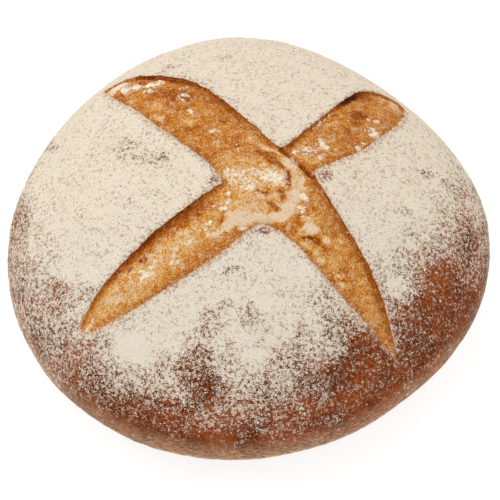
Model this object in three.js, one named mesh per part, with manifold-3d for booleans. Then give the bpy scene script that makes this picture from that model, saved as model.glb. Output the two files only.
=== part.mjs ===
// Round sourdough loaf with a cross cut into its top, in millimetres, +Z up.
// The flat foot lies on z = 0 and the middle of the loaf's box is on the Z axis.
// +X is to the right and +Y to the back; cut A-C runs from back left to front right,
// cut D-B from front left to back right.

import * as THREE from "three";
import { mergeVertices } from "three/addons/utils/BufferGeometryUtils.js";
import Module from "manifold-3d";

// Size and section of the loaf
const RADIUS = 115;
const HEIGHT = 91;
const WIDEST_LEVEL = 36.5;
const FOOT_SHARE = 0.74;
const CROWN_POWER = 2.1;
const BELLY_POWER = 1.75;

// How far the plan is from a circle: a cosine and a sine share of the radius for each number of lobes
const PLAN_LOBES = [
  { lobes: 2, cosine: 0.015, sine: 0.005 },
  { lobes: 3, cosine: 0.016, sine: -0.016 },
  { lobes: 4, cosine: 0.013, sine: 0.001 },
  { lobes: 5, cosine: 0.002, sine: 0.002 },
];

// Mesh steps
const SEGMENTS = 96;
const CROWN_RINGS = 27;
const BELLY_RINGS = 8;
const CUT_STEP = 4;
const WELD = 1e-4;
const SLOPE_STEP = 0.5;

// Depth of the crumb below the smooth crown: under the back and front lips, at the tips of a cut and on the
// swollen middle
const BACK_WALL = 3.2;
const FRONT_WALL = 2.2;
const TIP_WALL = 1.2;
const CRUMB_DEPTH = 0.3;
const SWELL_POWER = 0.5;
const FLOOR_SHARES = [0, 0.06, 0.16, 0.3, 0.5, 0.7, 0.84, 0.94, 1];

// A cut gets shallower towards its tips, and its walls end where the two cuts cross
const TIP_FADE = 26;
const CROSSING_INNER = 12;
const CROSSING_OUTER = 30;
const CUTTER_TOP = 22;

// The crust stands up along the lips of the cuts
const BACK_LIP_RISE = 1.4;
const FRONT_LIP_RISE = 1.0;
const LIP_WIDTH = 9;

// A cut lies along a straight chord through the crown. Its lips are [along, across] from the chord,
// across to the back being positive.
const CUTS = [
  {
    direction: new THREE.Vector2(0.692, -0.722),
    back: [[-101, 1.5], [-99, 6.5], [-94, 13], [-84, 19.1], [-76, 22.7], [-68, 25.9], [-58, 27.4],
      [-47, 27.8], [-36, 27.3], [-21, 27], [-9, 26.3], [-4, 27], [6, 29], [16, 28.9], [20, 27.3], [30, 24.3],
      [43, 20.9], [54, 18.1], [64, 15.4], [74, 11.5], [83, 8], [92, 3.5], [98, 0.5], [100.5, -2]],
    front: [[-101, -0.8], [-98, -1.9], [-87, -3.7], [-75, -3.8], [-62, -4.2], [-49, -4.4], [-38, -4],
      [-26, -3.6], [-17, -4], [-12, -5], [-8, -6.6], [4, -10], [14, -10], [20, -8], [24, -6.4], [29, -4.6],
      [36, -4], [46, -4.4], [61, -4.9], [72, -5.2], [84, -4.4], [94, -3.9], [100.5, -3]],
  },
  {
    direction: new THREE.Vector2(0.777, 0.629),
    back: [[-98.5, -0.6], [-96, 0.9], [-89, 3.3], [-80, 5.5], [-68, 7], [-55, 8], [-44, 8.9], [-30, 8.7],
      [-17, 8.4], [-8, 7.3], [6, 5], [20, 5], [28, 5.6], [34, 5.8], [41, 7], [49, 8.1], [58, 9.7],
      [64, 11.1], [70, 12.4], [77, 13.4], [84, 14.2], [91, 12.6], [97, 8], [101, 3]],
    front: [[-98.5, -1.8], [-96, -5.2], [-91, -8.5], [-83, -11.3], [-72, -14.2], [-60, -16.3], [-48, -18.3],
      [-38, -19.3], [-25, -20], [-13, -19.5], [-6, -20], [6, -18], [20, -14], [30, -13.9], [37, -14.6],
      [46, -15.8], [58, -17.1], [68, -16.1], [79, -14.3], [88, -11.8], [94, -9.1], [98.5, -5.5], [101, -2]],
  },
];

const smooth = (from, to, value) => THREE.MathUtils.smoothstep(value, from, to);

// Radius of the plan at an angle
function planRadius(angle) {
  let share = 1;
  for (const { lobes, cosine, sine } of PLAN_LOBES) {
    share += cosine * Math.cos(lobes * angle) + sine * Math.sin(lobes * angle);
  }
  return RADIUS * share;
}

// Height of the smooth crown over a point of the plan
function crownHeight(x, y) {
  const share = Math.min(Math.hypot(x, y) / planRadius(Math.atan2(y, x)), 1);
  return WIDEST_LEVEL + (HEIGHT - WIDEST_LEVEL) * (1 - share ** CROWN_POWER) ** (1 / CROWN_POWER);
}

// The crown's outward direction over a point of the plan
function crownNormal(x, y) {
  const slopeX = (crownHeight(x + SLOPE_STEP, y) - crownHeight(x - SLOPE_STEP, y)) / (2 * SLOPE_STEP);
  const slopeY = (crownHeight(x, y + SLOPE_STEP) - crownHeight(x, y - SLOPE_STEP)) / (2 * SLOPE_STEP);
  return new THREE.Vector3(-slopeX, -slopeY, 1).normalize();
}

// Across position of a lip at a place along its chord
function lipAcross(lip, along) {
  let next = lip.findIndex(([station]) => station >= along);
  if (next < 0) next = lip.length - 1;
  if (next === 0) return lip[0][1];
  const [a0, c0] = lip[next - 1];
  const [a1, c1] = lip[next];
  return THREE.MathUtils.mapLinear(Math.min(along, a1), a0, a1, c0, c1);
}

const lipEnds = (cut) => [cut.back[0][0], cut.back.at(-1)[0]];

// 1 along the length of a cut, falling smoothly to 0 from TIP_FADE inside each tip to a margin outside it
function tipFade(cut, along, margin) {
  const [start, end] = lipEnds(cut);
  return smooth(start - margin, start + TIP_FADE, along) * smooth(-end - margin, -end + TIP_FADE, -along);
}

// Point of the plan at a place along and across a cut
function planPoint(cut, along, across) {
  const { x, y } = cut.direction;
  return new THREE.Vector2(along * x - across * y, along * y + across * x);
}

// How far the loaf is lifted near a point of the plan, most between the lips and falling away outside them
function lipRise(x, y) {
  let rise = 0;
  for (const cut of CUTS) {
    const along = x * cut.direction.x + y * cut.direction.y;
    const across = -x * cut.direction.y + y * cut.direction.x;
    const behind = Math.max(across - lipAcross(cut.back, along), 0);
    const before = Math.max(lipAcross(cut.front, along) - across, 0);
    const lip = before > 0 ? FRONT_LIP_RISE : BACK_LIP_RISE;
    const outside = Math.max(behind, before);
    rise = Math.max(rise, lip * tipFade(cut, along, LIP_WIDTH) * Math.exp(-((outside / LIP_WIDTH) ** 2)));
  }
  return rise;
}

// Rings of [share of the plan radius, height] from the crown down to the edge of the foot
function sectionRings() {
  const rings = [];
  for (let i = 1; i <= CROWN_RINGS; i += 1) {
    const turn = (i / CROWN_RINGS) * Math.PI / 2;
    const share = Math.sin(turn) ** (2 / CROWN_POWER);
    const rise = Math.cos(turn) ** (2 / CROWN_POWER);
    rings.push([share, WIDEST_LEVEL + (HEIGHT - WIDEST_LEVEL) * rise]);
  }
  const bellyDepth = WIDEST_LEVEL / (1 - FOOT_SHARE ** BELLY_POWER) ** (1 / BELLY_POWER);
  const footTurn = Math.acos(FOOT_SHARE ** (BELLY_POWER / 2));
  for (let i = 1; i <= BELLY_RINGS; i += 1) {
    const turn = (i / BELLY_RINGS) * footTurn;
    const share = Math.cos(turn) ** (2 / BELLY_POWER);
    const drop = Math.sin(turn) ** (2 / BELLY_POWER);
    rings.push([share, WIDEST_LEVEL - bellyDepth * drop]);
  }
  rings.at(-1)[1] = 0;
  return rings;
}

// Closed geometry from points and triangles, with nothing but positions
function closedGeometry(points, triangles) {
  const geometry = new THREE.BufferGeometry();
  geometry.setAttribute("position", new THREE.Float32BufferAttribute(points.flatMap((p) => p.toArray()), 3));
  geometry.setIndex(triangles.flat());
  return mergeVertices(geometry, WELD);
}

// The uncut loaf: rings around the Z axis, closed by the crown's top and the middle of the foot
function uncutLoaf() {
  const points = [new THREE.Vector3(0, 0, HEIGHT)];
  const triangles = [];
  const rings = sectionRings();
  for (const [share, height] of rings) {
    for (let i = 0; i < SEGMENTS; i += 1) {
      const angle = (i / SEGMENTS) * 2 * Math.PI;
      const x = share * planRadius(angle) * Math.cos(angle);
      const y = share * planRadius(angle) * Math.sin(angle);
      const point = new THREE.Vector3(x, y, height);
      if (height > WIDEST_LEVEL + LIP_WIDTH) point.addScaledVector(crownNormal(x, y), lipRise(x, y));
      points.push(point);
    }
  }
  const footMiddle = points.push(new THREE.Vector3(0, 0, 0)) - 1;
  for (let i = 0; i < SEGMENTS; i += 1) {
    const j = (i + 1) % SEGMENTS;
    triangles.push([0, 1 + i, 1 + j]);
    for (let ring = 0; ring < rings.length - 1; ring += 1) {
      const upper = 1 + ring * SEGMENTS;
      const lower = upper + SEGMENTS;
      triangles.push([upper + i, lower + i, lower + j], [upper + i, lower + j, upper + j]);
    }
    const foot = 1 + (rings.length - 1) * SEGMENTS;
    triangles.push([footMiddle, foot + j, foot + i]);
  }
  return closedGeometry(points, triangles);
}

// Depth of a cut's crumb below the crown, from its front lip (0) to its back lip (1)
function floorDepth(cut, along, acrossShare) {
  const crossing = smooth(CROSSING_INNER, CROSSING_OUTER, Math.abs(along));
  const wall = THREE.MathUtils.lerp(FRONT_WALL, BACK_WALL, acrossShare);
  const swell = Math.sin(Math.PI * acrossShare) ** SWELL_POWER;
  const depth = THREE.MathUtils.lerp(wall, CRUMB_DEPTH, THREE.MathUtils.lerp(1, swell, crossing));
  return THREE.MathUtils.lerp(TIP_WALL, depth, tipFade(cut, along, 0));
}

// What a cut takes away: sections from lip to lip, with a floor below the crust and a top well above it
function cutter(cut) {
  const size = FLOOR_SHARES.length + 2;
  const [start, end] = lipEnds(cut);
  const count = Math.ceil((end - start) / CUT_STEP);
  const points = [];
  const triangles = [];
  for (let i = 0; i <= count; i += 1) {
    const along = THREE.MathUtils.lerp(start, end, i / count);
    const front = lipAcross(cut.front, along);
    const back = lipAcross(cut.back, along);
    const place = (share, rise) => {
      const { x, y } = planPoint(cut, along, THREE.MathUtils.lerp(front, back, share));
      return new THREE.Vector3(x, y, crownHeight(x, y)).addScaledVector(crownNormal(x, y), rise);
    };
    for (const share of FLOOR_SHARES) points.push(place(share, -floorDepth(cut, along, share)));
    points.push(place(1, CUTTER_TOP), place(0, CUTTER_TOP));
  }
  for (let i = 0; i < count; i += 1) {
    for (let k = 0; k < size; k += 1) {
      const a = i * size + k;
      const b = i * size + (k + 1) % size;
      triangles.push([a, b, b + size], [a, b + size, a + size]);
    }
  }
  const last = count * size;
  for (let k = 1; k < size - 1; k += 1) {
    triangles.push([0, k + 1, k], [last, last + k, last + k + 1]);
  }
  return closedGeometry(points, triangles);
}

const wasm = await Module();
wasm.setup();

function solid(geometry) {
  const vertProperties = Float32Array.from(geometry.attributes.position.array);
  const triVerts = Uint32Array.from(geometry.index.array);
  return new wasm.Manifold(new wasm.Mesh({ numProp: 3, vertProperties, triVerts }));
}

function geometryOf(body) {
  const mesh = body.getMesh();
  const geometry = new THREE.BufferGeometry();
  geometry.setAttribute("position", new THREE.BufferAttribute(mesh.vertProperties, 3));
  geometry.setIndex(new THREE.BufferAttribute(mesh.triVerts, 1));
  return geometry;
}

// The loaf, with its box's middle moved onto the Z axis
let loafSolid = solid(uncutLoaf());
for (const cut of CUTS) loafSolid = loafSolid.subtract(solid(cutter(cut)));
const loafGeometry = geometryOf(loafSolid);
loafGeometry.computeBoundingBox();
const middle = loafGeometry.boundingBox.getCenter(new THREE.Vector3());
loafGeometry.translate(-middle.x, -middle.y, 0);

const crust = new THREE.MeshStandardMaterial({ color: "#d9c3a3", roughness: 0.9, metalness: 0 });
const loaf = new THREE.Mesh(loafGeometry, crust);
loaf.name = "loaf";

const part = new THREE.Group();
part.add(loaf);

export default part;
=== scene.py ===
# Looks of a round sourdough loaf: a floured, browned crust with a cross cut burst open on top.
# Sizes are millimetres in the loaf's own plan (x right, y back, z up) until the mesh is made.

from math import cos, pi, radians, sin, tau

import bpy
import numpy as np
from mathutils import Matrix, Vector, noise
from mathutils.geometry import delaunay_2d_cdt
from mathutils.kdtree import KDTree


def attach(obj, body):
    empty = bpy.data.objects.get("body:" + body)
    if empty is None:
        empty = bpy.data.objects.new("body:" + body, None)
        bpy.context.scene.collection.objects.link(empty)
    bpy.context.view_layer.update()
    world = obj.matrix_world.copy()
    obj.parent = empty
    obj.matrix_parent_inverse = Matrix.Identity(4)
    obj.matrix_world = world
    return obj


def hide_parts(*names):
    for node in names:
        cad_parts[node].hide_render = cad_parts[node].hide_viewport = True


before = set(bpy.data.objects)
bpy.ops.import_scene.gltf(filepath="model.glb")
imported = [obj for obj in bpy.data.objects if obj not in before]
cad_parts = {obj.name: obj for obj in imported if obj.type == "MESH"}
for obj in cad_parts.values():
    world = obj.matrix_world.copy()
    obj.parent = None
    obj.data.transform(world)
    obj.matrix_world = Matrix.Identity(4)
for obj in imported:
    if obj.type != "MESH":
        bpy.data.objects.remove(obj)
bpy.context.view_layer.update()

MM = 0.001
SEED = 7

# Size and section of the loaf, the same as the solid's
RADIUS = 115.0
HEIGHT = 91.0
WIDEST_LEVEL = 36.5
FOOT_SHARE = 0.74
CROWN_POWER = 2.1
BELLY_POWER = 1.75
PLAN_LOBES = ((2, 0.015, 0.005), (3, 0.016, -0.016), (4, 0.013, 0.001), (5, 0.002, 0.002))

# Rounding of the edge between belly and foot
FOOT_ROUNDING = 7.0

# A cut lies along a straight line through the middle. Its lips are rows of (along, across), where
# across is positive towards the back.
CUTS = (
    {
        "direction": (0.692, -0.722),
        "back": (
            (-101, 1.5), (-99, 6.5), (-94, 13), (-84, 19.1), (-76, 22.7), (-68, 25.9), (-58, 27.4),
            (-47, 27.8), (-36, 27.3), (-21, 27), (-9, 26.3), (-4, 27), (6, 29), (16, 28.9), (20, 27.3),
            (30, 24.3), (43, 20.9), (54, 18.1), (64, 15.4), (74, 11.5), (83, 8), (92, 3.5), (98, 0.5),
            (100.5, -2),
        ),
        "front": (
            (-101, -0.8), (-98, -1.9), (-87, -3.7), (-75, -3.8), (-62, -4.2), (-49, -4.4), (-38, -4),
            (-26, -3.6), (-17, -4), (-12, -5), (-8, -6.6), (4, -10), (14, -10), (20, -8), (24, -6.4),
            (29, -4.6), (36, -4), (46, -4.4), (61, -4.9), (72, -5.2), (84, -4.4), (94, -3.9),
            (100.5, -3),
        ),
    },
    {
        "direction": (0.777, 0.629),
        "back": (
            (-98.5, -0.6), (-96, 0.9), (-89, 3.3), (-80, 5.5), (-68, 7), (-55, 8), (-44, 8.9), (-30, 8.7),
            (-17, 8.4), (-8, 7.3), (6, 5), (20, 5), (28, 5.6), (34, 5.8), (41, 7), (49, 8.1), (58, 9.7),
            (64, 11.1), (70, 12.4), (77, 13.4), (84, 14.2), (91, 12.6), (97, 8), (101, 3),
        ),
        "front": (
            (-98.5, -1.8), (-96, -5.2), (-91, -8.5), (-83, -11.3), (-72, -14.2), (-60, -16.3),
            (-48, -18.3), (-38, -19.3), (-25, -20), (-13, -19.5), (-6, -20), (6, -18), (20, -14),
            (30, -13.9), (37, -14.6), (46, -15.8), (58, -17.1), (68, -16.1), (79, -14.3), (88, -11.8),
            (94, -9.1), (98.5, -5.5), (101, -2),
        ),
    },
)

# Walls and lips of the cuts
BACK_WALL = 1.2
FRONT_WALL = 0.8
TIP_WALL = 0.7
TIP_FADE = 30.0
BACK_LIP_RISE = 1.0
FRONT_LIP_RISE = 0.6
LIP_WIDTH = 9.0
STRIP_WIDTH = 1.0
STRIP_ROWS = 4
STRIP_SLACK = 0.08
UNDERCUT = 0.35

# Mesh steps
SECTION_STEP = 0.25
CROWN_SAMPLES = 600
BELLY_SAMPLES = 200
FOOT_SAMPLES = 400
PLAN_SAMPLES = 720
OUTWARD_STEP = 0.4
SPLINE_PARTS = 40
LIP_LINE_STEP = 0.5
PATH_STEP = 0.5
SLIT_STEP = 0.4
OUTLINE_STEP = 0.7
OUTLINE_ROUNDS = 3
SHORTEST_RUN = 20
FLOOR_STEP = 0.72
FLOOR_JITTER = 0.1
LIP_STEP = 0.8
LIP_JITTER = 0.12
LIP_ZONE = 4.0
CRUST_STEP = 1.2
CRUST_JITTER = 0.2
RIM_POINTS = 480
BELLY_STEP = 1.5
FOOT_STEP = 2.4
FOOT_JITTER = 0.3
FOOT_MARGIN = 0.012
FOOT_HOLLOWS = 0.5
FOOT_HOLLOW_SIZE = 9.0
SETTLE_HEIGHT = 6.0
FAR_FROM_LIPS = 99.0

# Share of its full size that a lip's rise keeps at a tip, and the undercut under a front lip
TIP_SHARE = 0.25

# How far the inward direction turns while a front lip becomes a back lip
LIP_TURN = 0.35

# Swelling of the crumb, solved on a square grid of the unrolled plan
SIDEWAYS = ((1, 0), (-1, 0), (0, 1), (0, -1))
GRID_STEP = 1.0
SWELL_REACH = 4.0
SWELL_LEVEL = 1.0
SWELL_ROUNDS = 600
WALL_FOOT = 1.3
WALL_DETAIL = 0.3

# Relief in layers of noise: height, size, octaves, offset
CRUST_RELIEF = ((0.45, 30.0, 2, 3.0), (0.18, 5.0, 3, 7.0), (0.12, 1.6, 2, 1.0))
CRUMB_RELIEF = ((0.22, 2.6, 4, 0.0), (0.4, 9.0, 3, 5.0))
RAGGED_LIPS = ((0.45, 5.0, 3, 0.0), (0.25, 2.2, 2, 9.0))
FLOUR_PATCHES = ((0.16, 14.0, 3, 11.0), (0.14, 4.5, 3, 15.0))
FLOUR_WAVES = ((0.03, 8.0, 3, 27.0),)
LEAST_FLOUR_WAVES = ((0.06, 6.0, 2, 31.0),)
LEAST_FLOUR = 0.09

# Depths and widths of the crumb's details
CREASE_DEPTH = 2.0
CREASE_WIDTH = 1.2
SLIT_DEPTH = 1.1
SLIT_WIDTH = 0.6
FLAKE_RISE = 0.5
FLAKE_WIDTH = 0.5
DUST_RISE = 0.25

# How far, and over what size, noise moves the edges of the ovals
CRUMB_WANDER = (1.3, 4.0)
FLOUR_WANDER = (3.0, 9.0)

# Marks that the mesh carries for the crust's material
MARKS = ("crumb", "pale", "shade", "toast_and_shade", "dust", "flour", "film_and_sheen", "edge")

# Loose grains of flour
GRAINS = 24000
GRAIN_SIZE = 0.24
GRAIN_SPREAD = 0.35
GRAIN_UNEVEN = (0.6, 1.3)
GRAIN_LOWEST_FACING = -0.2
GRAIN_FACES = ((0, 2, 4), (2, 1, 4), (1, 3, 4), (3, 0, 4), (2, 0, 5), (1, 2, 5), (3, 1, 5), (0, 3, 5))

# Camera, floor and light
CAMERA_ELEVATION = radians(62.4)
CAMERA_DISTANCE = 805.0
FOCAL_PIXELS = 1564.0
PICTURE_PIXELS = 500
AIM = Vector((2.5, 12.3, 6.4))
FLOOR_HALF = 3.0
FLOOR_COLOUR = (0.35, 0.35, 0.35, 1)
FLOOR_GLOW = 0.78
WHITE = (1, 1, 1, 1)
SKY_STRENGTH = 0.86
SOFTBOX_PLACE = Vector((-0.5, 0.35, 1.3))
SOFTBOX_SIZE = 1.2
SOFTBOX_POWER = 7

# Colours, in screen values from 0 to 255
CRUST_DEEP = (90, 35, 7)
CRUST_LIGHT = (134, 61, 18)
CRUST_FLECK = (188, 114, 58)
CRUST_PIT = (84, 32, 7)
# Pale band round the rim: a film of flour and painted sheen
RIM_FILM_AND_SHEEN = (234, 201, 164)
TORN_EDGE = (194, 156, 130)
FLOUR_WARM = (227, 213, 189)
FLOUR_PLAIN = (225, 213, 196)
FLOUR_FRONT_SHADE = (221, 212, 198)
FLOUR_BRIGHT = (241, 230, 211)
FLOUR_DULL = (212, 192, 168)
FLOUR_FILM = (196, 176, 162)
FLOUR_THIN = (206, 189, 169)
CRUMB_VEIL = (214, 192, 164)
SKIN_DULL = (212, 184, 154)
SKIN_PALE = (230, 210, 188)
CRUMB_FLOUR = (240, 228, 206)
GRAIN_DULL = (232, 216, 192)
GRAIN_PALE = (244, 234, 216)

# Crumb colours from the darkest, for toasting and painted shade, to the palest, each with its place in the
# range
CRUMB_COLOURS = (
    (0.0, (86, 34, 10)), (0.15, (134, 60, 14)), (0.3, (162, 82, 16)), (0.42, (181, 101, 20)),
    (0.52, (193, 119, 31)), (0.62, (204, 139, 51)), (0.74, (215, 163, 86)), (0.86, (228, 192, 136)),
    (1.0, (238, 214, 178)),
)

# Sizes of the materials' patterns, as noise features in a metre
CRUST_CLOUD_SCALE = 60
CRUST_FLECK_SCALE = 900
FILM_STREAK_SCALE = 420
FLOUR_GRAIN_SCALE = 2000
FLOUR_CLUMP_SCALE = 620
FLOUR_POWDER_SCALE = 1700
FLOUR_DRIFT_SCALE = 260
CRUMB_SPECK_SCALE = 1900
CRUMB_SPOT_SCALE = 900
CRUMB_CLOUD_SCALE = 300
CRUMB_PATCH_SCALE = 110
CRUMB_VEIL_SCALE = 1250
GRAIN_TINT_SCALE = 500

# Surface of the materials; the bump's depth is in metres
CRUST_ROUGHNESS = 0.65
FLOUR_ROUGHNESS = 0.95
CRUST_SHINE = 0.05
DRY_SHINE = 0.1
BUMP_STRENGTH = 0.6
BUMP_DEPTH = 0.0005

# Details of the surface are soft-edged ovals in the plan. Each is a row of x, y, half length, half
# width, turn in degrees, and strength.

# Pale stretched skin round the middle and over blisters
PALE_SKIN = (
    (2, -9.5, 14, 8, -5, 0.55), (3, 1, 21, 15, 0, 0.48), (5, 24.5, 6, 2, -35, 0.5),
    (9, 22, 5, 2, -30, 0.6), (13, 19.3, 5, 1.7, -28, 0.85), (21.3, 12.3, 5, 3.8, -60, 1),
    (23.8, 4, 3, 7, 5, 0.7), (26.5, 1.5, 2, 6, 8, 0.85), (23, -5, 4.6, 4.4, 0, 1),
    (20.3, -12, 4.2, 5, -20, 1), (17, -15.8, 4.8, 3.4, 30, 1), (8, -16.6, 9, 3.2, 0, 0.95),
    (-2.5, -16.4, 8, 5, 0, 0.9), (-8.5, -21, 6, 2.4, 38, 0.9), (-14, -24.6, 5, 2, 35, 0.75),
    (30, -22.6, 5.2, 2.8, 0, 1), (30.5, -19, 5, 3, 0, 0.6), (36.8, -27.4, 1.8, 2.3, 0, 0.8),
    (33, -36.3, 2.8, 1.6, -20, 0.75), (32, -32.8, 2, 1.6, 0, 0.55), (38.2, -37.3, 2.2, 1.5, 0, 0.5),
    (42, -43.3, 2, 1.2, -30, 0.75), (43.6, -48, 1.6, 1.6, 0, 0.7), (43.5, -27, 1.6, 1, 0, 0.6),
    (27, -29.5, 3, 1.5, -30, 0.45), (56, -56, 12, 4, -62, 0.22), (-32.3, -35, 1.8, 2.4, 0, 0.85),
    (-57.5, -51.5, 6, 4, 35, 0.55), (-72, -62, 5, 2, 35, 0.6), (-42, -38, 40, 9, 38, 0.5),
    (46, -38, 24, 7, -55, 0.1), (-41.5, 42.5, 4, 1.3, -25, 0.65), (-31, 54, 2, 2.2, 0, 0.6),
    (-42.5, 49, 3.4, 3, 0, 0.45), (-26, 38, 4.5, 2, 0, 0.45), (-54.5, 57, 3, 1.5, 0, 0.55),
    (-66, 69, 5, 3.4, 30, 0.85), (-2.8, 20, 1.5, 1.3, 0, 0.55), (41, 37.5, 2.6, 1.5, 30, 0.5),
    (46.5, 42.5, 1.6, 1, 0, 0.5), (68, 63.5, 4, 1.2, -15, 0.75), (74.5, 59, 5, 3, -40, 0.6),
    (31, 15, 4, 2.5, 0, 0.4),
)

# Crumb darkened to a deeper brown: mostly toasting; along the back lips it is toasting and painted shade, and
# in slits and in the crease under a blister it is painted shade
TOASTED_AND_SHADED = (
    (8.5, 17, 3.2, 2, -30, 0.7), (13, 12.5, 4.5, 2.4, -35, 0.8), (16, 10.3, 2, 2.4, 0, 0.9),
    (19.8, 3.7, 1.4, 2.4, 0, 1.2), (20.2, 0.6, 1.2, 1.4, 0, 1), (17, -3.5, 1.5, 2.4, 0, 0.8),
    (17.3, -6.3, 1.6, 1.3, 0, 0.7), (7, -4.5, 2.4, 1, -20, 0.75), (9.3, -6, 1.5, 1, 0, 0.8),
    (14, -11.5, 2.6, 1.3, -10, 0.8), (11.4, -9.8, 1.8, 1.3, 0, 0.6), (-3.2, 22.6, 1.2, 1.8, 0, 0.9),
    (-36, 68, 20, 2, -25, 0.35), (-60.5, 63.5, 0.8, 1.6, 0, 0.8), (-50, 68.3, 4.5, 0.7, 5, 0.6),
    (-35, 57, 11, 5, -20, 0.5), (-29.5, 47.5, 5.5, 1.6, 0, 0.3), (-28, 33.5, 9, 1.4, 5, 0.4),
    (-12, 47, 14, 5, -45, 0.2), (55, 45, 4.4, 3.4, 0, 0.75), (53, 41.3, 3, 3, 0, 0.4),
    (48.3, 34.5, 3, 1.2, -60, 0.45), (58.5, 59.5, 4, 3, 30, 0.45), (63, 35.5, 0.9, 0.9, 0, 0.8),
    (77.5, 59.5, 1, 1.6, 0, 0.9), (52, 57.5, 7, 2.2, 42, 0.8), (40.8, -23.5, 2, 2.6, 0, 0.35),
    (37, -31.5, 2.6, 1.4, -30, 0.4), (44.7, -41.5, 2.6, 2, 0, 0.35), (44.5, -45.5, 2, 1, 0, 0.4),
    (32.7, -28.3, 2.4, 1.1, -20, 0.7), (25, -17, 4, 1.3, 110, 0.35), (-27, -17, 16, 3.5, 36, 0.45),
    # The ovals at (-52.5, -39.3) and (-46.5, -35.5) are painted shade in slits, and the last two are painted
    # shade in the crease under a blister
    (-43, -29, 12, 3, 38, 0.35), (-52.5, -39.3, 1.6, 0.9, 50, 0.9), (-46.5, -35.5, 2.6, 0.7, 15, 0.8),
    (-27, -18.5, 2.2, 0.8, 25, 0.6), (29, -26.4, 3, 0.6, -8, 0.9), (33.4, -27.8, 1.8, 0.8, -40, 0.8),
)

# Flour caught on the crumb
DUST = (
    (12.3, 3, 8.5, 4.4, -5, 0.75), (10, 6.5, 3.5, 1.5, 20, 0.55), (16.5, 2.8, 2.5, 2, 0, 0.85),
    (2, -2.2, 3.2, 1.7, 0, 0.95), (0, 1, 7, 3, 0, 0.55), (-4.5, 4, 5, 3.4, 0, 0.6),
    (-8.5, 6.5, 2, 3, 0, 0.65), (3, 5, 9, 4.5, 0, 0.48), (-8, -4.3, 1.2, 1.4, 0, 0.85),
    (-7, -7.5, 1, 0.8, 0, 0.7), (-8.5, -9, 1.2, 1, 40, 0.9), (-9.8, -12, 1.5, 1.7, -30, 0.95),
    (-13.7, -11.2, 0.9, 1.3, 0, 0.7), (28, -6.6, 2.3, 1.9, -50, 1), (26.5, -12.7, 2.4, 2.4, 0, 0.65),
    (27, -16.2, 1.2, 0.9, 0, 0.7), (31, -15.6, 1, 0.6, 0, 0.8), (-1.6, -22, 2.6, 1, 15, 0.9),
    (23.3, 19.2, 1, 2.4, 5, 1), (28, 21.3, 2.2, 1.3, 20, 0.75), (37, 23.3, 3.6, 2.4, -20, 0.7),
    (35.3, 26.8, 2.2, 1.1, 0, 0.65), (35.5, 17, 2.3, 1.8, 30, 0.65), (30, 20, 8.5, 3.6, 12, 0.5),
    (59.5, 43.3, 1.6, 1, -20, 0.75), (63.5, 43.6, 1.6, 1, -20, 0.7), (61, 36, 6, 3.6, 30, 0.42),
    (62, 38, 2, 1.3, -10, 0.75), (62.6, 34, 3.2, 1.9, 20, 1), (68.3, 41.5, 2.5, 1, 30, 0.5),
    (54.5, 24.3, 2.2, 1.2, 25, 0.7), (57.8, 28, 3, 1.2, 35, 0.55), (41.8, 28.5, 1.5, 2.5, 0, 0.4),
    (-53.5, 66.3, 3.8, 2.6, 0, 1), (-44.5, 66, 4.2, 2.2, 12, 1), (-41.3, 68.2, 2, 1.2, 30, 0.8),
    (-58.5, 66.5, 2.6, 3, 0, 0.85), (-63, 71.5, 7, 3.6, 20, 0.8), (-46, 61.6, 3, 1.4, 0, 0.75),
    (-43.5, 61.5, 1.4, 1, 0, 0.8), (-48.7, 61, 1.2, 1, 0, 0.7), (-28.5, 55, 2.3, 1.3, -30, 0.85),
    (-29.3, 52, 1, 1.2, 0, 0.8), (-25.5, 44.5, 1.7, 1.6, 0, 0.9), (-27.5, 62.5, 3, 2.5, 0, 0.35),
    (-15, 31.5, 1.9, 0.9, 30, 0.9), (-12.4, 30.3, 1.6, 0.9, 0, 0.65), (-33, -38, 1.5, 0.8, 10, 0.85),
    (-16, -19.5, 2.2, 1.4, 10, 0.7), (-17.7, -23, 1, 1.6, 0, 0.7), (-24.8, -27.8, 1.3, 2, 0, 0.75),
    (-29, -24, 3, 1, 0, 0.5), (-44.5, -43, 3.8, 1.7, 20, 1), (-42.3, -39.8, 2, 1.8, 0, 0.75),
    (-47, -41.5, 2, 1.2, 0, 0.7), (-48, -46, 2.8, 1.5, 0, 0.5), (-41, -37.2, 1, 1, 0, 0.7),
    (-30, -37.5, 1, 1.6, 0, 0.6), (-57.5, -51.5, 5, 3, 35, 0.4), (-73, -62.5, 4, 1.6, 35, 0.5),
    (-27, -40.8, 2, 1, 20, 0.5), (54.3, -36, 0.7, 0.6, 0, 1),
)

# The crumb swells in the middle and in blisters; the last number is a height
BULGES = (
    (5, 4, 16, 13, 0, 1.8), (30.3, -21, 5.8, 5.2, 0, 1.7), (36.8, -27.4, 2.3, 2.7, 0, 0.7),
    (28, -6.6, 2.8, 2.2, -50, 0.6), (26.5, -12.7, 2.8, 2.6, 0, 0.5), (-32.3, -35, 2.2, 2.8, 0, 0.4),
    (33, -9, 1.8, 2, 0, 0.4), (-53, 66, 5, 3, -5, 0.5),
)

# A crease beside the swollen middle, and small slits in the crumb
CREASE = ((17, 21), (21.3, 16.5), (23.8, 13.5), (27.3, 10.5), (30, 7.5), (31.5, 6.5))
SLITS = (
    ((-11, -18.7), (-9.8, -16.5)), ((-9.4, -14.2), (-9, -13.6)), ((-53.3, -40), (-51.8, -38.6)),
    ((-48, -36), (-44.8, -34.8)), ((-11, 37.2), (-9.7, 36.6)),
)

# Stretches of the back lips whose walls get a dark band of painted shade and toasting
DARK_WALLS = (
    (-46, -24, 42, 12, 38, 0.6), (53, 58, 12, 6, 45, 0.7), (-38, 68, 20, 8, -20, 0.45),
    (58, -38, 34, 8, -62, 0.3),
)

# A flake of pale skin stands along the upper lip of the back right arm
FLAKE = ((32.5, 34), (35.3, 37.5), (39, 42.3), (43.5, 47.5))

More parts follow.
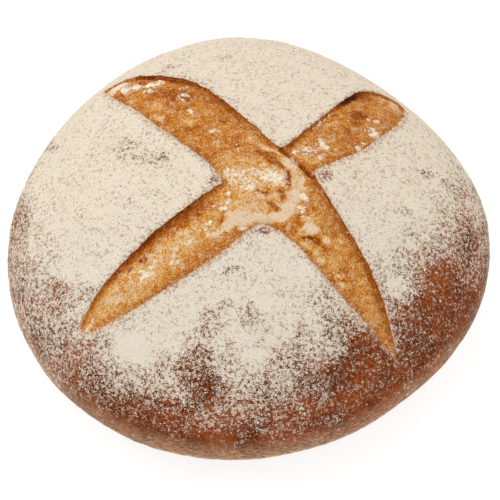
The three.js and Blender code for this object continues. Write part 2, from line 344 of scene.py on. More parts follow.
# Flour covers less and less of the crust from the middle outwards. Each row is an angle in degrees, the
# share of the plan radius where the flour starts to thin, and the share where it is thinnest.
FLOUR_EDGE = (
    (-180, 0.79, 1.2), (-165, 0.73, 1.3), (-150, 0.68, 1.25), (-135, 0.74, 1.06), (-120, 0.73, 1.02),
    (-105, 0.62, 1.06), (-90, 0.61, 1.09), (-75, 0.53, 1.05), (-60, 0.49, 0.97), (-45, 0.52, 0.94),
    (-30, 0.53, 0.98), (-15, 0.56, 1.08), (0, 0.66, 1.35), (15, 0.8, 1.5), (30, 0.95, 1.5),
    (150, 0.95, 1.5), (165, 0.85, 1.45), (180, 0.79, 1.2),
)
FULLEST = 0.965
THINNEST = 0.06

# Where flour has come off the crust
BARE = (
    (-24, -83, 9, 6, 50, 0.35), (-17, -92, 9, 7, 0, 0.4), (-17, -70, 7, 3, 15, 0.25),
    (-35, -98, 10, 5, -20, 0.25), (-8, -43, 6, 2, 0, 0.15), (-13, -60, 8, 2, 10, 0.2),
    (2, -63, 6, 6, 0, 0.15), (40, -68, 8, 4, 20, 0.2), (55, -72, 9, 6, 30, 0.45),
    (45, -85, 12, 8, 10, 0.35), (-86, -45, 7, 5, -60, 0.28), (-76, -48, 10, 6, 0, 0.22),
    (-90, -38, 3, 2, 0, 0.25), (-68, -69, 6, 2, 0, 0.2), (92, -37, 9, 7, 0, 0.35),
    (80, -52, 12, 8, 40, 0.3), (105, -10, 6, 12, 0, 0.3), (75, -8, 3, 2, 0, 0.12),
    (-110, 5, 4, 30, 10, 0.1), (-45, 18, 10, 6, -20, 0.12), (-56, 27, 6, 5, 0, 0.08),
    (86, 17, 6, 3, 0, 0.12), (100, 13, 7, 3, 0, 0.15), (35.5, 6.3, 5.5, 2.6, 10, 0.22),
    (-38.5, 17.5, 3, 4, 60, 0.2), (8.5, -22, 5.5, 2.6, 0, 0.55), (-13, 3.5, 4, 2.4, 110, 0.4),
    (-8, 83, 5, 3, 0, 0.06), (-35, 80, 4, 2, 0, 0.12), (-6, -82, 8, 6, 0, 0.12),
    (5, -62, 5, 5, 0, 0.12), (-14, -65, 6, 4, 0, 0.15), (-21, -108, 12, 4, 0, 0.15),
    (-100, 50, 4, 14, 30, 0.25), (99, -41, 6, 8, 0, 0.15), (-1, -110, 10, 4, 0, 0.15),
)

# Where more flour has stayed
DRIFTS = (
    (0, -85, 14, 8, 0, 0.2), (17, -91, 7, 5, 0, 0.25), (-52, -78, 12, 7, -30, 0.15),
    (71, -46, 7, 6, 0, 0.35), (37, -73, 10, 9, 0, 0.28), (36, -92, 7, 5, 0, 0.2),
    (17.5, -93.6, 6, 5, 0, 0.15), (60, -58, 6, 5, 0, 0.15), (-53, -88, 9, 5, -20, 0.25),
    (-33, -92, 11, 5, 0, 0.22), (75, -57, 7, 5, 0, 0.25),
)

# Turns the share of crust covered into the flour mark, since the noise's values crowd round the middle
EVENING = 0.1


def smooth(low, high, value):
    """0 at low and 1 at high with a smooth step between them; low may be the greater."""
    t = np.clip((np.asarray(value, float) - low) / (high - low), 0, 1)
    return t * t * (3 - 2 * t)


# Smooth base form

def plan_radius(angle):
    """Distance from the middle to the plan outline at angles."""
    share = np.ones_like(angle)
    for lobes, cosine, sine in PLAN_LOBES:
        share = share + cosine * np.cos(lobes * angle) + sine * np.sin(lobes * angle)
    return RADIUS * share


def section_table():
    """Distance along the section, from the crown's top to the foot's middle, with the share of the plan
    radius and the height there; then the distances of the rim and of the foot's edge."""
    turn = np.linspace(0, pi / 2, CROWN_SAMPLES)
    crown_share = np.sin(turn) ** (2 / CROWN_POWER)
    crown_height = WIDEST_LEVEL + (HEIGHT - WIDEST_LEVEL) * np.cos(turn) ** (2 / CROWN_POWER)
    depth = WIDEST_LEVEL / (1 - FOOT_SHARE ** BELLY_POWER) ** (1 / BELLY_POWER)
    turn = np.linspace(0, np.arccos(FOOT_SHARE ** (BELLY_POWER / 2)), BELLY_SAMPLES)[1:]
    belly_share = np.cos(turn) ** (2 / BELLY_POWER)
    belly_height = WIDEST_LEVEL - depth * np.sin(turn) ** (2 / BELLY_POWER)
    foot_share = np.linspace(FOOT_SHARE, 0, FOOT_SAMPLES)[1:]
    share = np.concatenate([crown_share, belly_share, foot_share])
    height = np.concatenate([crown_height, belly_height, np.zeros(len(foot_share))])
    distance = np.concatenate([[0], np.cumsum(np.hypot(np.diff(share) * RADIUS, np.diff(height)))])
    even = np.arange(0, distance[-1], SECTION_STEP)
    share = np.interp(even, distance, share)
    height = np.interp(even, distance, height)

    # The edge between belly and foot is rounded by averaging along the section
    edge = distance[len(crown_share) + len(belly_share) - 1]
    reach = int(FOOT_ROUNDING / SECTION_STEP)
    kernel = np.hanning(2 * reach + 1)
    kernel /= kernel.sum()
    near = np.abs(even - edge) < 2 * FOOT_ROUNDING
    share[near] = np.convolve(share, kernel, "same")[near]
    height[near] = np.convolve(height, kernel, "same")[near]
    rim = distance[len(crown_share) - 1]
    return even, share, height, rim, edge + 2 * FOOT_ROUNDING


DISTANCE, SHARE, LEVEL, RIM, FOOT_EDGE = section_table()


def place(points):
    """Where points of the unrolled plan (distance along the section, at their angle) lie on the base form."""
    angle = np.arctan2(points[:, 1], points[:, 0])
    distance = np.hypot(points[:, 0], points[:, 1])
    radius = plan_radius(angle) * np.interp(distance, DISTANCE, SHARE)
    return np.stack([radius * np.cos(angle), radius * np.sin(angle), np.interp(distance, DISTANCE, LEVEL)], 1)


def outward(points):
    """Outward directions of the base form at points of the unrolled plan."""
    across = place(points + [OUTWARD_STEP, 0]) - place(points - [OUTWARD_STEP, 0])
    along = place(points + [0, OUTWARD_STEP]) - place(points - [0, OUTWARD_STEP])
    normal = np.cross(across, along)
    return normal / np.linalg.norm(normal, axis=1, keepdims=True)


def unroll(plan):
    """Points of the plan on the crown, moved to the unrolled plan."""
    angle = np.arctan2(plan[:, 1], plan[:, 0])
    share = np.hypot(plan[:, 0], plan[:, 1]) / plan_radius(angle)
    crown = DISTANCE <= RIM
    distance = np.interp(share, SHARE[crown], DISTANCE[crown])
    return np.stack([distance * np.cos(angle), distance * np.sin(angle)], 1)


# Curves

def curve(points, step):
    """A smooth line through points, with a point every step."""
    p = np.array(points, float)
    p = np.vstack([2 * p[0] - p[1], p, 2 * p[-1] - p[-2]])
    t = np.linspace(0, 1, SPLINE_PARTS, endpoint=False)[:, None]
    line = []
    for a, b, c, d in zip(p, p[1:], p[2:], p[3:]):
        bend = 2 * a - 5 * b + 4 * c - d + t * (3 * b - a - 3 * c + d)
        line.append(b + 0.5 * t * (c - a + t * bend))
    return resample(np.vstack([*line, p[-2:-1]]), step)


def resample(line, step):
    """The same line with its points evenly spaced, about a step apart."""
    distance = np.concatenate([[0], np.cumsum(np.linalg.norm(np.diff(line, axis=0), axis=1))])
    even = np.linspace(0, distance[-1], max(2, round(distance[-1] / step) + 1))
    return np.stack([np.interp(even, distance, line[:, k]) for k in range(2)], 1)


def inside(points, loop):
    """Which points lie inside a closed loop."""
    x, y = points[:, 0], points[:, 1]
    result = np.zeros(len(points), bool)
    for (x0, y0), (x1, y1) in zip(loop, np.roll(loop, -1, axis=0)):
        if y0 == y1:
            continue
        crosses = (y0 > y) != (y1 > y)
        result ^= crosses & (x < (x1 - x0) * (y - y0) / (y1 - y0) + x0)
    return result


def noise_at(points, size, octaves, offset=0.0):
    """Fractal noise, about -1 to 1, with features of a size, at rows of three coordinates."""
    places = points / size + offset
    return np.array([noise.fractal(Vector(p), 0.8, 2.0, octaves) for p in places.tolist()])


def layered(points, layers):
    """Noise in layers of height, size, octaves and offset, added up."""
    return sum(height * noise_at(points, size, octaves, offset) for height, size, octaves, offset in layers)


# Outline of the open cuts

def lens(cut):
    """The closed outline of one cut in the plan, anticlockwise."""
    x, y = cut["direction"]
    lips = np.vstack([curve(cut["front"], LIP_LINE_STEP), curve(cut["back"], LIP_LINE_STEP)[::-1]])
    return np.stack([lips[:, 0] * x - lips[:, 1] * y, lips[:, 0] * y + lips[:, 1] * x], 1)


def runs_outside(loop, other):
    """The stretches of a loop that lie outside another loop."""
    out = ~inside(loop, other)
    start = int(np.argmin(out))
    loop, out = np.roll(loop, -start, axis=0), np.roll(out, -start)
    runs = []
    for point, keep, before in zip(loop, out, np.roll(out, 1)):
        if keep and not before:
            runs.append([])
        if keep:
            runs[-1].append(point)
    return [np.array(run) for run in runs if len(run) > SHORTEST_RUN]


def cut_outline():
    """The joined outline of both cuts in the unrolled plan, with its inward directions."""
    first, second = (lens(cut) for cut in CUTS)
    runs = runs_outside(first, second) + runs_outside(second, first)
    runs.sort(key=lambda run: np.arctan2(*run.mean(0)[::-1]))
    plan = np.vstack(runs)
    loop = resample(np.vstack([unroll(plan), unroll(plan[:1])]), OUTLINE_STEP)[:-1]
    for _ in range(OUTLINE_ROUNDS):
        loop = (np.roll(loop, 1, axis=0) + 2 * loop + np.roll(loop, -1, axis=0)) / 4
    inward = directions(loop)
    flat = np.column_stack([loop, np.zeros(len(loop))])
    loop = loop + inward * layered(flat, RAGGED_LIPS)[:, None]
    return loop, directions(loop)


def directions(loop):
    """Inward directions of an anticlockwise loop."""
    tangent = np.roll(loop, -2, axis=0) - np.roll(loop, 2, axis=0)
    tangent /= np.linalg.norm(tangent, axis=1, keepdims=True)
    return np.stack([-tangent[:, 1], tangent[:, 0]], 1)


OUTLINE, INWARD = cut_outline()


def tip_positions():
    """The ends of both cuts in the unrolled plan."""
    tips = []
    for cut in CUTS:
        x, y = cut["direction"]
        for along in (cut["back"][0][0], cut["back"][-1][0]):
            tips.append((along * x, along * y))
    return unroll(np.array(tips))


def outline_values():
    """The wall's depth and the lip's rise along the outline, and a share that is 1 on a back lip and 0 on
    a front lip."""
    back = smooth(-LIP_TURN, LIP_TURN, -INWARD[:, 1])
    reach = np.min([np.linalg.norm(OUTLINE - tip, axis=1) for tip in tip_positions()], axis=0)
    open_share = smooth(0, TIP_FADE, reach)
    full = FRONT_WALL + (BACK_WALL - FRONT_WALL) * back
    wall = TIP_WALL + (full - TIP_WALL) * open_share
    rise = FRONT_LIP_RISE + (BACK_LIP_RISE - FRONT_LIP_RISE) * back
    return wall, rise * (TIP_SHARE + (1 - TIP_SHARE) * open_share), back


WALL, RISE, BACK = outline_values()


def lip_tree():
    """The outline's points, ready for finding the nearest one."""
    tree = KDTree(len(OUTLINE))
    for index, (x, y) in enumerate(OUTLINE.tolist()):
        tree.insert((x, y, 0), index)
    tree.balance()
    return tree


LIP_TREE = lip_tree()


def nearest_lip(points):
    """Distance to the outline and the index of its nearest point."""
    found = [LIP_TREE.find((x, y, 0)) for x, y in points.tolist()]
    return np.array([f[2] for f in found]), np.array([f[1] for f in found])


# Crumb between the lips: it swells like a skin held down along the walls

def crumb_level():
    """Height of the crumb against the crust's base form, on a square grid of the unrolled plan."""
    half = int(RIM // GRID_STEP)
    ticks = np.arange(-half, half + 1) * GRID_STEP
    x, y = np.meshgrid(ticks, ticks, indexing="ij")
    points = np.stack([x.ravel(), y.ravel()], 1)
    within = inside(points, OUTLINE).reshape(x.shape)
    level = np.zeros(x.shape)
    border = np.zeros(x.shape, bool)
    for shift in SIDEWAYS:
        border |= np.roll(within, shift, (0, 1)) & ~within
    edge = np.stack([x[border], y[border]], 1)
    level[border] = -WALL[nearest_lip(edge)[1]]
    level[within] = SWELL_LEVEL
    share = (GRID_STEP / SWELL_REACH) ** 2
    for _ in range(SWELL_ROUNDS):
        around = sum(np.roll(level, shift, (0, 1)) for shift in SIDEWAYS)
        level[within] = ((around + share * SWELL_LEVEL) / (4 + share))[within]
    return ticks, level


TICKS, CRUMB_LEVEL = crumb_level()


def grid_value(grid, points):
    """A grid's value at points between its lines."""
    at = (points - TICKS[0]) / GRID_STEP
    low = np.clip(np.floor(at).astype(int), 0, len(TICKS) - 2)
    part = at - low
    i, j = low.T
    u, v = part.T
    near = grid[i, j] * (1 - u) + grid[i + 1, j] * u
    far = grid[i, j + 1] * (1 - u) + grid[i + 1, j + 1] * u
    return near * (1 - v) + far * v


# Points of the mesh over the unrolled plan

def hex_points(step, reach):
    """Points of an even triangular pattern over a square, out to reach on each side."""
    rows = np.arange(-reach, reach, step * 3 ** 0.5 / 2)
    points = []
    for number, y in enumerate(rows):
        x = np.arange(-reach, reach, step) + (number % 2) * step / 2
        points.append(np.stack([x, np.full(len(x), y)], 1))
    return np.vstack(points)


rng = np.random.default_rng(SEED)


def jittered(points, amount):
    """The points, each moved a little at random."""
    return points + rng.uniform(-amount, amount, points.shape)


def top_points():
    """Points inside the rim: crumb, crust with a finer zone by the lips, and strips for the walls, each
    with its share of the way down and its point of the outline. All keep clear of the outline and the rim."""
    near_box = np.abs(OUTLINE).max() + LIP_ZONE
    floor = jittered(hex_points(FLOOR_STEP, near_box), FLOOR_JITTER)
    distance, _ = nearest_lip(floor)
    within = inside(floor, OUTLINE)
    crumb = floor[within & (distance > STRIP_WIDTH + 0.5 * FLOOR_STEP)]
    fine = jittered(hex_points(LIP_STEP, near_box), LIP_JITTER)
    distance, _ = nearest_lip(fine)
    outer = fine[~inside(fine, OUTLINE) & (distance > 0.6 * LIP_STEP) & (distance < LIP_ZONE)]
    coarse = jittered(hex_points(CRUST_STEP, RIM), CRUST_JITTER)
    distance, _ = nearest_lip(coarse)
    away = np.hypot(*coarse.T) < RIM - 0.6 * CRUST_STEP
    crust = coarse[away & ~inside(coarse, OUTLINE) & (distance > LIP_ZONE + 0.3 * CRUST_STEP)]
    strips, steps, lips = [], [], []
    for row in range(1, STRIP_ROWS + 1):
        offset = STRIP_WIDTH * row / STRIP_ROWS
        points = OUTLINE + INWARD * offset
        distance, _ = nearest_lip(points)
        keep = distance > offset - STRIP_SLACK
        strips.append(points[keep])
        steps.append(np.full(keep.sum(), row / STRIP_ROWS))
        lips.append(np.flatnonzero(keep))
    crust = np.vstack([outer, crust])
    return crumb, crust, np.vstack(strips), np.concatenate(steps), np.concatenate(lips)


def triangulate(points, loops):
    """Triangles over points in a plane, keeping closed loops of indices as edges."""
    edges = [(a, b) for loop in loops for a, b in zip(loop, np.roll(loop, -1).tolist())]
    result = delaunay_2d_cdt([Vector(p) for p in points.tolist()], edges, [], 0, 1e-7)
    origin = [source[0] for source in result[3]]
    return [tuple(origin[i] for i in face) for face in result[2]]


# Fine relief and colour marks

def ovals(plan, table, full=0.5, end=1.4):
    """The greatest strength of a table's ovals at points of the plan. An oval has its full strength up to
    one share of its size and none past another."""
    most = np.zeros(len(plan))
    for x, y, length, width, turn, strength in table:
        cosine, sine = cos(radians(turn)), sin(radians(turn))
        along = ((plan[:, 0] - x) * cosine + (plan[:, 1] - y) * sine) / length
        across = ((plan[:, 1] - y) * cosine - (plan[:, 0] - x) * sine) / width
        np.maximum(most, strength * smooth(end, full, np.hypot(along, across)), out=most)
    return most


def bell(distance, width):
    """1 where the distance is nothing, falling smoothly to none within a few widths."""
    return np.exp(-((distance / width) ** 2))


def path_distance(plan, path):
    """Distance in the plan to a path."""
    line = curve(path, PATH_STEP) if len(path) > 2 else resample(np.array(path, float), SLIT_STEP)
    best = np.full(len(plan), 1e9)
    for x, y in line:
        np.minimum(best, np.hypot(plan[:, 0] - x, plan[:, 1] - y), out=best)
    return best


def wandering(plan, solid_points, amount, size):
    """The plan with each point moved a little by noise, so that ovals get natural edges."""
    moved = plan.copy()
    for axis in range(2):
        moved[:, axis] += amount * noise_at(solid_points, size, 3, 20.0 * (axis + 1))
    return moved


def crumb_detail(plan, solid_points, lip_distance, back):
    """Height of the crumb's details, and the colour marks that go with them, painted shade among them."""
    loose = wandering(plan, solid_points, *CRUMB_WANDER)
    crease = path_distance(plan, CREASE)
    slit = np.min([path_distance(plan, path) for path in SLITS], axis=0)
    pale = ovals(loose, PALE_SKIN)
    dust = ovals(loose, DUST, 0.1, 1.7)
    height = layered(solid_points, CRUMB_RELIEF)
    height *= 1 - 0.5 * pale
    for x, y, length, width, turn, rise in BULGES:
        height += rise * ovals(plan, ((x, y, length, width, turn, 1),))
    flake = bell(path_distance(loose, FLAKE), FLAKE_WIDTH)
    height -= CREASE_DEPTH * bell(crease, CREASE_WIDTH) + SLIT_DEPTH * bell(slit, SLIT_WIDTH)
    height += DUST_RISE * dust + FLAKE_RISE * flake

    # Walls get painted shade and toasting in a broad band, and darker in a narrow one along the lip; the
    # crease and the slits get painted shade
    heavy = back * ovals(plan, DARK_WALLS)
    wall = (0.1 + 0.06 * back + 0.3 * heavy) * bell(lip_distance, 1.8 + 1.6 * heavy)
    wall += (0.03 + 0.05 * back + 0.34 * heavy) * np.exp(-lip_distance / 0.8)
    shade = np.maximum.reduce([wall, 0.7 * bell(crease, 1.3), 0.55 * bell(slit, 0.7)])
    dust = np.maximum.reduce([dust, 0.5 * bell(lip_distance, 1.3) * (1 - back), 0.75 * flake])
    return height, {"pale": pale, "toast_and_shade": ovals(loose, TOASTED_AND_SHADED), "dust": dust, "shade": shade}


def flour_cover(plan, solid_points, reach, lip_distance, front):
    """The flour mark, which the material adds to noise: the higher it is, the more of the crust is covered.
    reach is 1 at the rim and more below it."""
    angle = np.degrees(np.arctan2(plan[:, 1], plan[:, 0]))
    angles, full, thin = np.array(FLOUR_EDGE).T
    edge = np.interp(angle, angles, full)
    end = np.interp(angle, angles, thin)
    cover = FULLEST + (THINNEST - FULLEST) * smooth(0, 1, (reach - edge) / (end - edge))
    loose = wandering(plan, solid_points, *FLOUR_WANDER)
    cover += ovals(loose, DRIFTS) - ovals(loose, BARE)
    patches = layered(solid_points, FLOUR_PATCHES) * smooth(1.0, 0.8, cover)
    cover += patches + layered(solid_points, FLOUR_WAVES)
    least = (LEAST_FLOUR + layered(solid_points, LEAST_FLOUR_WAVES)) * smooth(1.0, 0.93, reach)
    cover = np.maximum(cover - 0.06 * smooth(0.95, 1.0, reach), least)

    # Along a lip thin flour is a little thicker, and full flour has rubbed off
    cover += 0.22 * bell(lip_distance, 1.8) * smooth(0.9, 0.5, cover)
    cover -= (0.12 + 0.14 * front) * bell(lip_distance, 1.7) * smooth(0.6, 0.95, cover)
    cover = np.clip(cover * smooth(1.45, 1.05, reach), 0.003, 0.997)
    return 0.5 + EVENING * np.log(cover / (1 - cover))


# The loaf's mesh

def crust_marks(plan, base, points, lip_distance, front):
    """The marks of the crust: flour, the film of flour and painted sheen round the rim, and torn edges along
    the lips.
    """
    distance = np.hypot(*points.T)
    share = np.hypot(plan[:, 0], plan[:, 1]) / plan_radius(np.arctan2(plan[:, 1], plan[:, 0]))
    reach = np.where(distance < RIM, share, 1 + (distance - RIM) / RADIUS)
    cover = flour_cover(plan, base, reach, lip_distance, front)
    edge = bell(lip_distance, 1.4 + 0.6 * front) * (0.6 + 0.4 * front) * smooth(0.33, 0.54, cover)
    # A band round the rim: a film of flour, partly painted sheen
    film_and_sheen = smooth(0.968, 1.03, reach) * smooth(1.3, 1.06, reach)
    return {"flour": cover, "film_and_sheen": film_and_sheen, "edge": edge}


def rim_loop(distance):
    """Points round the loaf at one distance of the unrolled plan."""
    around = np.arange(RIM_POINTS) * tau / RIM_POINTS
    return distance * np.stack([np.cos(around), np.sin(around)], 1)


def build_top():
    """Vertices, triangles and marks inside the rim: crust, walls of the cuts, and crumb."""
    crumb, crust, strips, steps, lips = top_points()
    rim = rim_loop(RIM)
    points = np.vstack([rim, OUTLINE, strips, crumb, crust])
    ends = np.cumsum([len(rim), len(OUTLINE), len(strips), len(crumb), len(crust)])
    on_outline, on_strip = slice(ends[0], ends[1]), slice(ends[1], ends[2])
    opened = slice(ends[1], ends[3])
    lip_loop = list(range(ends[0], ends[1]))
    faces = triangulate(points, [list(range(RIM_POINTS)), lip_loop])

    base, normal = place(points), outward(points)
    plan = base[:, :2]
    distance, index = nearest_lip(points)
    marks = {name: np.zeros(len(points)) for name in MARKS}
    marks.update(crust_marks(plan, base, points, distance, 1 - BACK[index]))
    shift = RISE[index] * bell(distance, LIP_WIDTH) + layered(base, CRUST_RELIEF)

    detail, crumb_marks = crumb_detail(plan[opened], base[opened], distance[opened], BACK[index[opened]])
    near_wall = bell(np.clip(distance[opened] - STRIP_WIDTH, 0, None), WALL_FOOT)
    level = grid_value(CRUMB_LEVEL, points[opened])
    shift[opened] = level * (1 - near_wall) - WALL[index[opened]] * near_wall
    shift[opened] += detail * (1 - (1 - WALL_DETAIL) * near_wall)
    fall = smooth(0, 1, steps) * 0.4 + 0.6 * steps
    shift[on_strip] = shift[on_outline][lips] * (1 - fall) + shift[on_strip] * fall
    side = np.zeros((len(points), 2))
    undercut = UNDERCUT * (TIP_SHARE + (1 - TIP_SHARE) * BACK[lips]) * smooth(0, 0.5, WALL[lips] - TIP_WALL)
    side[on_strip] = -INWARD[lips] * (undercut * np.sin(pi * steps))[:, None]

    marks["crumb"][opened] = 1
    for name, values in crumb_marks.items():
        marks[name][opened] = values
    moved = place(points + side) + normal * shift[:, None]
    return moved, faces, marks


def build_loaf():
    """Vertices, triangles and marks of the closed loaf: top, belly and foot."""
    top, faces, marks = build_top()
    rows = round((FOOT_EDGE - RIM) / BELLY_STEP)
    belly = np.vstack([rim_loop(RIM + (FOOT_EDGE - RIM) * row / rows) for row in range(1, rows + 1)])
    base, normal = place(belly), outward(belly)
    settle = smooth(0, SETTLE_HEIGHT, base[:, 2])
    low = base + normal * (layered(base, CRUST_RELIEF) * settle)[:, None]
    low[:, 2] = np.maximum(low[:, 2], 0)
    start = len(top)
    ring = list(range(RIM_POINTS))
    for row in range(rows):
        below = [start + row * RIM_POINTS + i for i in range(RIM_POINTS)]
        for i in range(RIM_POINTS):
            j = (i + 1) % RIM_POINTS
            faces.append((ring[i], below[i], below[j]))
            faces.append((ring[i], below[j], ring[j]))
        ring = below

    edge = low[-RIM_POINTS:, :2]
    disc = hex_points(FOOT_STEP, RADIUS)
    spread = np.hypot(*disc.T) / plan_radius(np.arctan2(disc[:, 1], disc[:, 0]))
    disc = disc[spread < np.interp(FOOT_EDGE, DISTANCE, SHARE) - FOOT_MARGIN]
    disc = jittered(disc, FOOT_JITTER)
    flat = triangulate(np.vstack([edge, disc]), [list(range(RIM_POINTS))])
    first = start + len(low) - RIM_POINTS
    hollows = noise_at(np.column_stack([disc, np.zeros(len(disc))]), FOOT_HOLLOW_SIZE, 3)
    foot = np.column_stack([disc, np.abs(hollows) * FOOT_HOLLOWS])
    faces += [(first + a, first + c, first + b) for a, b, c in flat]

    vertices = np.vstack([top, low, foot])
    extra = len(low) + len(foot)
    marks = {name: np.concatenate([value, np.zeros(extra)]) for name, value in marks.items()}
    away = np.full(len(belly), FAR_FROM_LIPS)
    for name, values in crust_marks(base[:, :2], base, belly, away, 0).items():
        marks[name][start: start + len(low)] = values
    return vertices, np.array(faces), marks


# Grains of flour that lie on the crust and the crumb

def flour_grains(vertices, faces, marks):
    """Small uneven lumps on the loaf, most where the flour thins out and where it dusts the crumb."""
    a, b, c = (vertices[faces[:, k]] for k in range(3))
    up = np.cross(b - a, c - a)
    area = np.linalg.norm(up, axis=1)
    up /= area[:, None]
    flour, crumb, dust = (marks[name][faces].mean(1) for name in ("flour", "crumb", "dust"))
    flour = np.clip(flour, 0, 1)
    thinning = 4.0 * flour ** 2 * (1 - flour) * smooth(0.2, 0.45, flour)
    weight = np.where(crumb > 0.5, 0.01 + 2.5 * dust ** 2, 0.06 * flour + thinning)
    weight = np.where(up[:, 2] > GRAIN_LOWEST_FACING, weight, 0) * area
    face = rng.choice(len(faces), GRAINS, p=weight / weight.sum())
    u, v = np.sort(rng.random((2, GRAINS, 1)), axis=0)
    centre = a[face] * u + b[face] * (v - u) + c[face] * (1 - v)
    up = up[face]
    aside = np.cross(up, rng.normal(size=(GRAINS, 3)))
    aside /= np.linalg.norm(aside, axis=1, keepdims=True)
    ahead = np.cross(up, aside)
    size = GRAIN_SIZE * np.exp(rng.normal(0, GRAIN_SPREAD, (GRAINS, 1)))
    corners = []
    for direction, share in ((aside, 1), (-aside, 1), (ahead, 1), (-ahead, 1), (up, 0.7), (-up, 0.5)):
        corners.append(centre + direction * size * share * rng.uniform(*GRAIN_UNEVEN, (GRAINS, 1)))
    points = np.stack(corners, 1).reshape(-1, 3)
    grain_faces = (np.arange(GRAINS)[:, None, None] * 6 + np.array(GRAIN_FACES)).reshape(-1, 3)
    return points, grain_faces, {}


def plan_middle():
    """Middle of the plan outline's box: the loaf is moved so that this lies on the Z axis."""
    angle = np.linspace(0, tau, PLAN_SAMPLES, endpoint=False)
    edge = plan_radius(angle)[:, None] * np.stack([np.cos(angle), np.sin(angle)], 1)
    return (edge.max(0) + edge.min(0)) / 2


MIDDLE = np.array([*plan_middle(), 0.0])


def added(name, data):
    """A new object in the scene."""
    made = bpy.data.objects.new(name, data)
    bpy.context.scene.collection.objects.link(made)
    return made


def mesh_object(name, vertices, faces, marks):
    """A Blender object in metres, its middle over the origin, with the marks as attributes."""
    mesh = bpy.data.meshes.new(name)
    mesh.from_pydata(((vertices - MIDDLE) * MM).tolist(), [], faces.tolist())
    mesh.polygons.foreach_set("use_smooth", [True] * len(mesh.polygons))
    for mark, values in marks.items():
        layer = mesh.attributes.new(mark, "FLOAT", "POINT")
        layer.data.foreach_set("value", np.asarray(values, np.float32))
    mesh.update()
    return added(name, mesh)


# Materials

def linear(red, green, blue):
    """A colour given in screen values, 0 to 255, as the linear values a shader takes."""
    parts = [c / 255 for c in (red, green, blue)]
    return (*(p / 12.92 if p <= 0.04045 else ((p + 0.055) / 1.055) ** 2.4 for p in parts), 1.0)


class Nodes:
    """Short ways to add and join the nodes of one material."""

    def __init__(self, name):
        self.material = bpy.data.materials.new(name)
        self.material.use_nodes = True
        self.tree = self.material.node_tree
        self.tree.nodes.clear()

    def add(self, kind, inputs=(), **settings):
        """A node with its inputs joined to other nodes or set to values."""
        node = self.tree.nodes.new(kind)
        for key, value in settings.items():
            setattr(node, key, value)
        for socket, value in dict(inputs).items():
            if isinstance(value, bpy.types.NodeSocket):
                self.tree.links.new(value, node.inputs[socket])
            else:
                node.inputs[socket].default_value = value
        return node

    def mark(self, name):
        return self.add("ShaderNodeAttribute", attribute_name=name).outputs["Fac"]

    def math(self, operation, a, b=0.0, c=0.0):
        return self.add("ShaderNodeMath", {0: a, 1: b, 2: c}, operation=operation).outputs[0]

    def steps(self, value, low, high, to_low=0.0, to_high=1.0):
        """A smooth step from to_low at low to to_high at high."""
        inputs = {"Value": value, "From Min": low, "From Max": high, "To Min": to_low, "To Max": to_high}
        return self.add("ShaderNodeMapRange", inputs, interpolation_type="SMOOTHSTEP").outputs[0]

    def blend(self, share, a, b):
        """Mixes two colours, each the output of a node or three screen values."""
        a, b = (linear(*colour) if isinstance(colour, tuple) else colour for colour in (a, b))
        return self.add("ShaderNodeMix", {0: share, 6: a, 7: b}, data_type="RGBA").outputs[2]

    def total(self, start, *terms):
        """A start value with weighted values added."""
        for value, weight in terms:
            start = self.math("MULTIPLY_ADD", value, weight, start)
        return start

    def ramp(self, value, colours):
        """Colours along a range, each given with its place from 0 to 1."""
        node = self.add("ShaderNodeValToRGB", {"Fac": value})
        stops = node.color_ramp.elements
        while len(stops) < len(colours):
            stops.new(1.0)
        for stop, (position, colour) in zip(stops, colours):
            stop.position = position
            stop.color = linear(*colour)
        return node.outputs["Color"]

    def noise(self, where, scale, detail=3.0, roughness=0.6, stretch=None, distortion=0.0):
        if stretch:
            where = self.add("ShaderNodeMapping", {"Vector": where, "Scale": stretch}).outputs[0]
        inputs = {"Vector": where, "Scale": scale, "Detail": detail, "Roughness": roughness,
                  "Distortion": distortion}
        return self.add("ShaderNodeTexNoise", inputs).outputs["Fac"]

    def object_place(self):
        """The point's own place on the object, in metres."""
        return self.add("ShaderNodeTexCoord").outputs["Object"]

    def finished(self, inputs):
        """The material, with its surface's inputs given."""
        surface = self.add("ShaderNodeBsdfPrincipled", inputs)
        self.add("ShaderNodeOutputMaterial", {"Surface": surface.outputs[0]})
        return self.material


